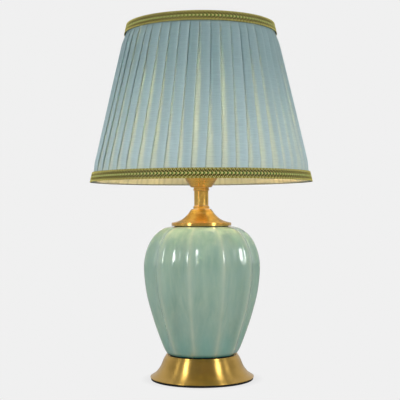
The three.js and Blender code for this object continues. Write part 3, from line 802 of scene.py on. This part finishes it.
def ring_place(node):
    """Height and wire-centre radius of one of the shade's rings, in millimetres."""
    low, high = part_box(node)
    return (low.z + high.z) / 2 / MM, high.x / MM - SHADE_WIRE


BOTTOM_RING_Z, BOTTOM_RING_RADIUS = ring_place("shade_bottom_ring")
TOP_RING_Z, TOP_RING_RADIUS = ring_place("shade_top_ring")


def cone(height):
    """Radius of the shade's outer cone at a height."""
    slope = (TOP_RING_RADIUS - BOTTOM_RING_RADIUS) / (TOP_RING_Z - BOTTOM_RING_Z)
    return BOTTOM_RING_RADIUS + FRAME_INSET + (np.asarray(height) - BOTTOM_RING_Z) * slope


def round_shade(angle, radius, height):
    """Points at an angle from the front, turning towards +X."""
    return np.stack(np.broadcast_arrays(radius * np.sin(angle), -radius * np.cos(angle), height), -1)


def build_shade_frame():
    angles = np.arange(200) * TURN / 200
    for end in ("top", "bottom"):
        node = f"shade_{end}_ring"
        height, radius = ring_place(node)
        ring = tube(round_shade(angles, radius, height), SHADE_WIRE, 12, closed=True)
        add_piece(f"enamelled_{end}_ring", node, ring, enamel, sharp=50)
    for index in range(1, 7):
        node = f"shade_rib_{index}"
        low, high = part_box(node)
        middle = (low + high) / 2
        angle = math.atan2(middle.x, -middle.y)
        heights = np.linspace(low.z / MM, high.z / MM, 12)
        path = round_shade(np.full(12, angle), cone(heights) - FRAME_INSET, heights)
        add_piece(f"enamelled_rib_{index}", node, tube(path, RIB_WIRE, 12), enamel, sharp=50)

    low, high = low_of("shade_spider"), high_of("shade_spider")
    hub = [[3.8, low], [10.7, low], *arc((10.4, low + 0.8), 0.6, -70, 70, 6), [10.4, low + 1.6],
           [8, low + 1.6], [7.2, low + 2.0], [4.4, low + 2.0], [3.8, low + 1.6]]
    arm_z, bend_radius, arm_radius = low + 0.8, 84, 98.3
    solids = [lathe(hub, 64)]
    for arm in range(3):
        path = [[r, 0, arm_z] for r in np.linspace(9.2, bend_radius, 16, endpoint=False)]
        path += bezier([bend_radius, 0, arm_z], [bend_radius + 9.5, 0, arm_z],
                       [arm_radius, 0, arm_z + 4], [arm_radius, 0, arm_z + 12], 12)
        path += [[arm_radius, 0, z] for z in np.linspace(arm_z + 12, high, 5)]
        points, faces = tube(path, 1.6, 12)
        turn = math.pi / 2 + arm * TURN / 3
        spin = np.array(Matrix.Rotation(turn, 3, "Z"))
        solids.append((points @ spin.T, faces))
    add_piece("welded_spider", "shade_spider", joined(*solids), wire_brass)


# --- pleated cloth and lining


def pleat_edges(heights, rng):
    """Angle of each pleat's folded edge at each height, with the unevenness of hand pleating:
    each one is a little out of place, bent and leaning, in degrees round the shade."""
    out_of_place, bent, leaning = 0.34, 0.34, 0.45
    number = np.arange(PLEATS)[:, None]
    even = FIRST_LIP + number * TURN / PLEATS + PLEAT_SLANT * (heights - 350)[None, :]
    shift = np.radians(rng.normal(0, out_of_place, (PLEATS, 1)))
    share = np.linspace(0, 1, len(heights))[None, :]
    bend = np.radians(rng.normal(0, bent, (PLEATS, 1)))
    bend = bend * np.sin(math.pi * share + rng.uniform(-1, 1, (PLEATS, 1)))
    lean = np.radians(rng.normal(0, leaning, (PLEATS, 1))) * (share - 0.5)
    return even + shift + bend + lean


def pleat_lines(width, under, edge_press, rng):
    """The lines down the cloth in each pleat, from the fold behind its start to the one behind its lip.
    Each line: millimetres past the previous lip, height over the base, painted shade in the tuck, single
    layer, painted highlight on the crest."""
    puff = 1 + 0.22 * rng.normal(0, 1, (PLEATS, 1)) * np.sin(math.pi * np.linspace(0, 1, width.shape[1]))
    loose = (1 - 0.72 * edge_press) * puff
    inner, middle, over, lip = 0.2 * loose, 0.9 * loose, 1.5 * loose, 2.9 * loose
    belly = rng.uniform(-0.3, 1.3, (PLEATS, 1)) * (1 - edge_press)
    ripple_phase = rng.uniform(0, TURN, (PLEATS, 1))
    ripple_size = rng.uniform(0.03, 0.10, (PLEATS, 1)) * (1 - edge_press)

    under_before = np.roll(under, 1, 0)
    fold = (middle - inner) / 2
    lines = [(-under_before - fold, inner + fold, 0.6, 0.0, 0.0)]
    for share in (0.9, 0.5, 0.12):
        lines.append((-under_before * share, inner, 0.6, 0.0, 0.0))
    rise_end = np.clip(width - under, 2.0, 0.6 * width)
    for share in (0.0, 0.04, 0.09, 0.16, 0.26, 0.38, 0.5, 0.62, 0.74, 0.85, 0.93, 0.98):
        offset = share * width
        climb = smoothstep(offset / rise_end, 0, 1)
        ripple = ripple_size * np.sin(TURN * offset / 4.6 + ripple_phase) * math.sin(math.pi * share)
        bulge = belly * math.sin(math.pi * share**0.8)
        lift = inner + (over - inner) * climb + (lip - over) * share**1.4 + ripple + bulge
        # Painted shade in the tuck, just past the previous pleat's folded edge.
        tuck_painted_shade = 0.85 * max(0.0, 1 - share / 0.12)
        single = 1 - smoothstep(offset / (width - under), 0.8, 1.3)
        # The last value is the painted crest highlight, rising towards the lip.
        lines.append((offset, lift, tuck_painted_shade, single, max(0.0, share - 0.55)**2 * 4.0))
    drop = (lip - middle) / 2
    # On the fold round the lip, the outer half gets the painted crest highlight and the inner half painted
    # tuck shade.
    for angle in (60, 15, -15, -60):
        swing = math.radians(angle)
        lines.append((width + drop * (math.cos(swing) - 0.5), middle + drop * (1 + math.sin(swing)),
                      0.12 if angle > 0 else 0.5, 0.0, 0.6 if angle > 0 else 0.0))
    for share in (0.25, 0.6, 0.95):
        lines.append((width - under * share, middle * np.ones_like(width), 0.6, 0.0, 0.0))
    return lines


def build_pleated_cloth():
    rng = np.random.default_rng(PLEAT_SEED)
    low, high = low_of("shade_fabric"), high_of("shade_fabric")
    heights = np.linspace(low, high, 72)
    edge_press = 1 - between(heights, low + 10, low + 30, high - 30, high - 10)
    base_radius = cone(heights) - 2.0 - 0.2 * edge_press
    lips = pleat_edges(heights, rng)
    started = np.vstack([lips[-1:] - TURN, lips[:-1]])
    width = (lips - started) * base_radius
    under = np.minimum((CLOTH_PER_PLEAT - width) / 2, 0.92 * np.minimum(width, np.roll(width, -1, 0)))
    lines = pleat_lines(width, under, edge_press, rng)
    offsets, lifts, tuck_painted_shades, singles, crest_painted_highlights = (
        np.stack([np.broadcast_to(value, width.shape) for value in values], 1) for values in zip(*lines))
    # A random amount of painted shade for each pleat.
    painted_pleat_shades = np.broadcast_to(rng.uniform(0, 1, (PLEATS, 1, 1)), offsets.shape)

    def by_height(values):
        """The same values with a row for each height and a column for each line down the cloth."""
        return values.reshape(PLEATS * len(lines), -1).T

    angle = by_height(started[:, None, :] + offsets / base_radius)
    radius = by_height(base_radius + lifts)
    points = round_shade(angle, radius, heights[:, None])
    step = np.linalg.norm(np.diff(points, axis=1, prepend=points[:, :1]), axis=2)
    across = np.cumsum(step, 1) * MM
    along = np.broadcast_to((heights[:, None] - low) * MM, across.shape)
    values = {"cloth_across": across, "cloth_along": along, "tuck_painted_shade": by_height(tuck_painted_shades),
              "single": by_height(singles), "crest_painted_highlight": by_height(crest_painted_highlights), "painted_pleat_shade": by_height(painted_pleat_shades)}
    solid = points.reshape(-1, 3), grid_faces(*angle.shape)
    cloth = add_piece("pleated_shade_cloth", "shade_fabric", solid, satin, sharp=80, values=values)
    slant_length = math.hypot(high - low, float(cone(low) - cone(high)))
    return cloth, (PLEATS * CLOTH_PER_PLEAT * MM, slant_length * MM)


def build_lining():
    rng = np.random.default_rng(PLEAT_SEED + 1)
    wrap = SHADE_WIRE + 0.4
    around_bottom = arc((-FRAME_INSET, BOTTOM_RING_Z), wrap, 0, -180, 10)
    around_top = arc((-FRAME_INSET, TOP_RING_Z), wrap, 180, 0, 10)
    wall_low, wall_high = BOTTOM_RING_Z + 7, TOP_RING_Z - 7
    wall = [[-LINING_INSET - 0.2, z] for z in np.linspace(wall_low, wall_high, 26)]
    path = [[-FRAME_INSET + wrap, BOTTOM_RING_Z + 5], *around_bottom, *wall, *around_top,
            [-FRAME_INSET + wrap, TOP_RING_Z - 5]]
    path = np.array(path, float)
    gathers = 96
    columns = gathers * 8
    centres = np.sort((np.arange(gathers) + rng.uniform(-0.3, 0.3, gathers)) * TURN / gathers)
    strength = rng.uniform(0.15, 1.0, gathers)
    angle = np.arange(columns) * TURN / columns
    near = np.zeros(columns)
    for centre, size in zip(centres, strength):
        away = np.abs((angle - centre + math.pi) % TURN - math.pi)
        near = np.maximum(near, size * np.exp(-(away / 0.011)**2))
    height = path[:, 1:]
    on_wall = between(height, wall_low - 4, wall_low + 8, wall_high - 10, wall_high + 2)
    # The gathers' depth shapes the lining and also sets its painted shade.
    gather_depth_and_painted_shade = near[None, :] * (0.35 + 0.65 * on_wall)
    radius = cone(height) + path[:, :1] - 0.75 * gather_depth_and_painted_shade * on_wall
    points = round_shade(angle[None, :], radius, height)
    solid = points.reshape(-1, 3), grid_faces(len(path), columns)[:, ::-1]
    piece = add_piece("gathered_shade_lining", "shade_lining", solid, lining, sharp=80,
                      values={"gather_depth_and_painted_shade": gather_depth_and_painted_shade})
    section = np.stack([cone(path[:, 1]) + path[:, 0], path[:, 1]], -1)
    length = np.linalg.norm(np.diff(section, axis=0), axis=1).sum()
    mean_round = TURN * float(np.mean(radius))
    return piece, (mean_round * MM, length * MM)


# --- braid


def pillow_template(centre, half_width, half_height, rise, floor):
    """A small domed bar of silk, in millimetres: along the braid, up it, and out from it."""
    across = np.linspace(-1, 1, 5)
    up = np.linspace(-1, 1, 6)
    x, y = np.meshgrid(across, up)
    dome = np.sqrt(np.clip(1 - np.abs(x)**2.4, 0, 1)) * np.sqrt(np.clip(1 - np.abs(y)**5, 0, 1))
    points = np.stack([centre + x * half_width, y * half_height, floor + rise * dome], -1).reshape(-1, 3)
    return points, grid_faces(len(up), len(across), close_columns=False)


def braid_unit():
    """One repeat of the braid, laid flat: bars, crossing cords and edge loops, with the strand colours."""
    half = BRAID_PITCH / 2
    cord, loop = 0.24, 0.40
    centre_row, loop_row, edge_row = 1.4, 4.1, 6.9
    floor = 0.25
    gold, green = 0.46 * half, 0.50 * half
    parts = [(pillow_template(half / 2, gold, centre_row, 0.95, floor), 0.9),
             (pillow_template(half * 1.5, green, centre_row, 0.85, floor), 0.3)]
    for up in (-1, 1):
        for start, end in ((0.0, half), (2 * half, half)):
            height = 0.62 if start > end else 0.74
            path = [[start, up * (centre_row - 0.5), height + 0.1],
                    [(start + end) / 2, up * (centre_row + loop_row) / 2, height],
                    [end, up * (loop_row + 0.2), height + 0.05]]
            parts.append((tube(path, cord, 6), 0.9 if start > end else 0.6))
        for centre in (half / 2, half * 1.5):
            swing = np.radians(np.linspace(-20, 200, 7))
            path = np.stack([centre + 0.9 * np.cos(swing), up * (loop_row + 0.75 + 1.9 * np.sin(swing)),
                             0.62 + 0.12 * np.sin(swing)], -1)
            parts.append((tube(path, loop, 6), 0.9 if centre < half else 0.6))
        # Thin dark cords between the rows: painted shadow lines.
        path = [[x, up * (edge_row - 2.3), 0.6] for x in np.linspace(0, BRAID_PITCH, 5)]
        parts.append((tube(path, 0.26, 6), 0.1))
    return parts


def build_braid(name, node):
    """The braid's repeats round the shade, on a thin dark band of painted shade."""
    middle = (low_of(node) + high_of(node)) / 2
    repeats = round(TURN * float(cone(middle)) / BRAID_PITCH)
    solids, strands = [], []
    for (points, faces), strand in braid_unit():
        for repeat in range(repeats):
            solids.append((points + np.array([repeat * BRAID_PITCH, 0, 0]), faces))
            strands.append(np.full(len(points), strand))
    along = np.arange(repeats * 2) * BRAID_PITCH / 2
    # A thin dark band behind the cords: painted shade in the gaps.
    half_width = 6.9
    band = [[0.0, -half_width], [0.3, -half_width], [0.3, half_width], [0.0, half_width]]
    painted_shade_band = np.array([[s, up, out] for out, up in band for s in along], float)
    solids.append((painted_shade_band, grid_faces(len(band), len(along), close_rows=True)))
    strands.append(np.full(len(painted_shade_band), 0.1))
    flat, faces = joined(*solids)
    angle = flat[:, 0] / (repeats * BRAID_PITCH) * TURN
    height = middle + flat[:, 1]
    solid = round_shade(angle, cone(height) + flat[:, 2], height), faces
    return add_piece(name, node, solid, braid, sharp=60, values={"strand": np.concatenate(strands)})


# --- CAD nodes that keep their shape


def dress_cad_nodes():
    """Materials for the nodes that keep their CAD shape, and softer edges on the bent saddle."""
    looks = {
        "ballast_plate": cast_iron, "bottom_nut": steel, "bottom_lock_washer": steel, "threaded_rod": steel,
        "cap_gasket": rubber, "harp_saddle": wire_brass, "socket_liner": card, "socket_interior": plastic,
        "centre_contact": wire_brass, "finial_insert": steel,
    }
    for node, material in looks.items():
        piece = frame["nodes"][node]
        piece.data.materials.clear()
        piece.data.materials.append(material)
        piece.data.shade_smooth()
        piece.data.set_sharp_from_angle(angle=math.radians(30))
    soften = frame["nodes"]["harp_saddle"].modifiers.new("softened edges", "BEVEL")
    soften.width = 0.3 * MM
    soften.segments = 2
    soften.limit_method = "ANGLE"


# --- scene


def build_camera():
    camera_data = bpy.data.cameras.new("camera")
    camera_data.lens = 83.34
    camera_data.sensor_width = 36
    camera = new_object("camera", camera_data)
    camera.location = (0, -1.3437, 0.241)
    pitch, yaw, roll = math.radians(0.7425), math.radians(0.08), math.radians(-0.27)
    level = Matrix.Rotation(yaw, 4, "Z") @ Matrix.Rotation(math.pi / 2 + pitch, 4, "X")
    camera.rotation_euler = (level @ Matrix.Rotation(roll, 4, "Z")).to_euler()
    bpy.context.scene.camera = camera


def add_softbox(name, azimuth, elevation, size, watts, aim):
    """A rectangular light aimed at a point, its azimuth counted from the front towards +X."""
    light_data = bpy.data.lights.new(name, "AREA")
    light_data.shape = "RECTANGLE"
    light_data.size, light_data.size_y = size
    light_data.energy = watts
    light = new_object(name, light_data)
    a, e = math.radians(azimuth), math.radians(elevation)
    away = Vector((math.sin(a) * math.cos(e), -math.cos(a) * math.cos(e), math.sin(e)))
    aim = Vector(aim)
    light.location = aim + LIGHT_DISTANCE * away
    light.rotation_euler = (light.location - aim).to_track_quat("Z", "Y").to_euler()
    light.visible_camera = False


def build_studio():
    """A dim front, brighter sides and back, and three pairs of soft lights."""
    world = bpy.data.worlds.new("studio")
    bpy.context.scene.world = world
    g = Graph(world)
    direction = g.add("TexCoord").outputs["Generated"]
    parts = g.add("SeparateXYZ", {0: direction})
    to_front = g.times(parts.outputs["Y"], -1.0)
    from_front = g.math("ABSOLUTE", g.math("ARCTAN2", parts.outputs["X"], to_front))
    sides = g.span(from_front, 0.95, 1.15, FRONT_GLOW, SIDE_GLOW)
    back = g.span(from_front, 1.85, 2.05, 0.0, BACK_GLOW - SIDE_GLOW)
    overhead = g.span(parts.outputs["Z"], 0.80, 0.97, 1.0, 0.55)
    around = g.times(g.plus(sides, back), overhead)
    seen = g.add("LightPath").outputs["Is Camera Ray"]
    brightness = g.add("Mix", {0: seen, 2: around, 3: PALE}, data_type="FLOAT").outputs[0]
    background = g.add("Background", {"Color": (1, 1, 1), "Strength": brightness})
    g.add("OutputWorld", {"Surface": background.outputs[0]})

    for side, name in ((-1, "left"), (1, "right")):
        add_softbox(f"softbox_{name}", side * 49, 20, (0.20, 0.56), SOFTBOX_WATTS, (0, 0, 0.2))
        add_softbox(f"strip_light_{name}", side * 78, 19, (0.20, 0.48), STRIP_WATTS, (0, 0, 0.2))
        add_softbox(f"low_light_{name}", side * 44, 5, (0.10, 0.22), LOW_WATTS, (0, 0, 0.24))


def build_floor():
    """A wide pale floor, with a painted contact shadow close round the foot."""
    mesh = bpy.data.meshes.new("floor")
    reach = 12.0
    corners = [(-reach, -reach, 0), (reach, -reach, 0), (reach, reach, 0), (-reach, reach, 0)]
    mesh.from_pydata(corners, [], [(0, 1, 2, 3)])
    material, g = new_material("pale_floor")
    painted_contact_shadow = g.span(g.length(g.place()), 0.074, 0.090, 0.90 * PALE, PALE)
    diffuse = g.add("BsdfDiffuse", {"Color": (0.6, 0.6, 0.6)}).outputs[0]
    glow = g.add("Emission", {"Color": (1, 1, 1), "Strength": painted_contact_shadow}).outputs[0]
    camera_ray = g.add("LightPath").outputs["Is Camera Ray"]
    g.finish(g.add("MixShader", {0: camera_ray, 1: diffuse, 2: glow}).outputs[0])
    mesh.materials.append(material)
    floor = new_object("floor", mesh)


build_camera()
build_foot()
build_vase()
build_neck()
build_socket()
build_switch()
build_bulb()
build_harp()
build_shade_frame()
cloth, cloth_flat = build_pleated_cloth()
lining_piece, lining_flat = build_lining()
bottom_braid = build_braid("bottom_braid", "bottom_trim")
top_braid = build_braid("top_braid", "top_trim")
dress_cad_nodes()
build_studio()
build_floor()
bpy.context.scene.view_settings.view_transform = "Standard"
